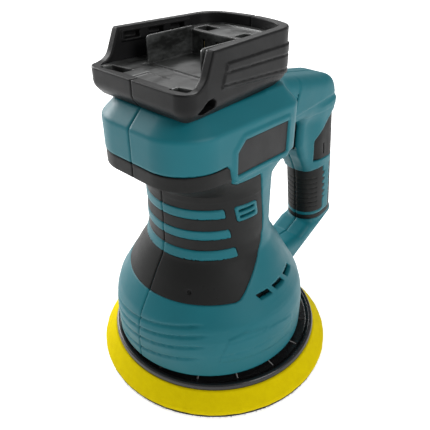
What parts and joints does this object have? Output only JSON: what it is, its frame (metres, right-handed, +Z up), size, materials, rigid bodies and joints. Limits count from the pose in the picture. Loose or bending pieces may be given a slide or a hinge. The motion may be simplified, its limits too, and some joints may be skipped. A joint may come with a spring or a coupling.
{
  "type": "dual action polisher",
  "caption": "Cordless random-orbit polisher: round hook-faced foam pad, bell housing, slim motor neck, D handle with trigger and a slide-on battery dock on top.",
  "frame": {"origin": "motor axis at the underside of the pad, the face that takes a polishing pad", "axes": "+Z up along the motor axis, -Y towards the open end of the battery dock, +Y towards the D handle, +X to the tool's right flank"},
  "size_m": [0.18, 0.2367, 0.2425],
  "materials": {
    "housing_plastic": "satin moulded, fine spark texture",
    "soft_cover": "matte soft overmould",
    "dock_plastic": "satin moulded, fine spark texture",
    "name_plate": "blank plate, satin",
    "foam": "dense moulded polyurethane foam",
    "hook": "hook fastener fabric",
    "plate": "semi-gloss moulded",
    "steel": "machined",
    "aluminium": "die cast",
    "iron": "blackened",
    "lamination": "stacked laminations",
    "magnet": "coated",
    "copper": "enamelled copper wire",
    "insulator": "moulded",
    "board": "solder mask",
    "black_plastic": "moulded",
    "component": "satin",
    "felt": "pressed felt",
    "lead_red": "insulated wire",
    "brass": "plated",
    "skirt": "glossy moulded rubber"
  },
  "bodies": {
    "housing": {"lower_bearing": "steel", "upper_bearing": "steel", "bearing_plate": "aluminium", "bearing_plate_screws": "steel", "motor_cap": "aluminium", "stator_core": "lamination", "stator_insulators": "insulator", "stator_windings": "copper", "sensor_board": "board", "dust_skirt": "skirt", "housing_left": "housing_plastic", "housing_right": "housing_plastic", "neck_cover_left": "soft_cover", "neck_cover_right": "soft_cover", "badge_left": "name_plate", "badge_right": "name_plate", "housing_screws": "steel", "grip_wrap_left": "soft_cover", "grip_wrap_right": "soft_cover", "palm_pad_left": "soft_cover", "palm_pad_right": "soft_cover", "trigger_spring": "steel", "switch_body": "black_plastic", "controller_board": "board", "board_parts": "component", "heat_sink": "aluminium", "motor_leads": "lead_red", "battery_leads": "lead_red", "dock_left": "dock_plastic", "dock_right": "dock_plastic", "dock_tray": "dock_plastic", "tray_screws": "steel", "terminal_block": "black_plastic", "battery_contacts": "brass"},
    "orbit": {"spindle_bearing_lower": "steel", "spindle_bearing_upper": "steel", "bearing_retainer": "iron", "eccentric_hub": "aluminium", "counterweight": "iron", "counterweight_screws": "steel", "motor_shaft": "steel", "fan": "black_plastic", "rotor_core": "lamination", "rotor_magnets": "magnet"},
    "pad": {"hook_layer": "hook", "foam_pad": "foam", "backing_plate": "plate", "pad_stud": "steel", "felt_washer": "felt", "spindle": "steel", "spindle_clip": "steel"},
    "trigger": {"trigger": "black_plastic"}
  },
  "joints": [
    {"name": "motor_spin", "type": "hinge", "parent": "housing", "child": "orbit", "pos_m": [0, 0, 0.1], "axis": [0, 0, -1], "continuous": true},
    {"name": "pad_spin", "type": "hinge", "parent": "orbit", "child": "pad", "pos_m": [0, 0.006, 0.04], "axis": [0, 0, -1], "continuous": true},
    {"name": "trigger_press", "type": "slide", "parent": "housing", "child": "trigger", "axis": [0, 1, 0], "range_m": [0, 0.005], "stiffness_N_per_m": 900, "springref_m": -0.002, "deforming": ["trigger_spring"]}
  ]
}
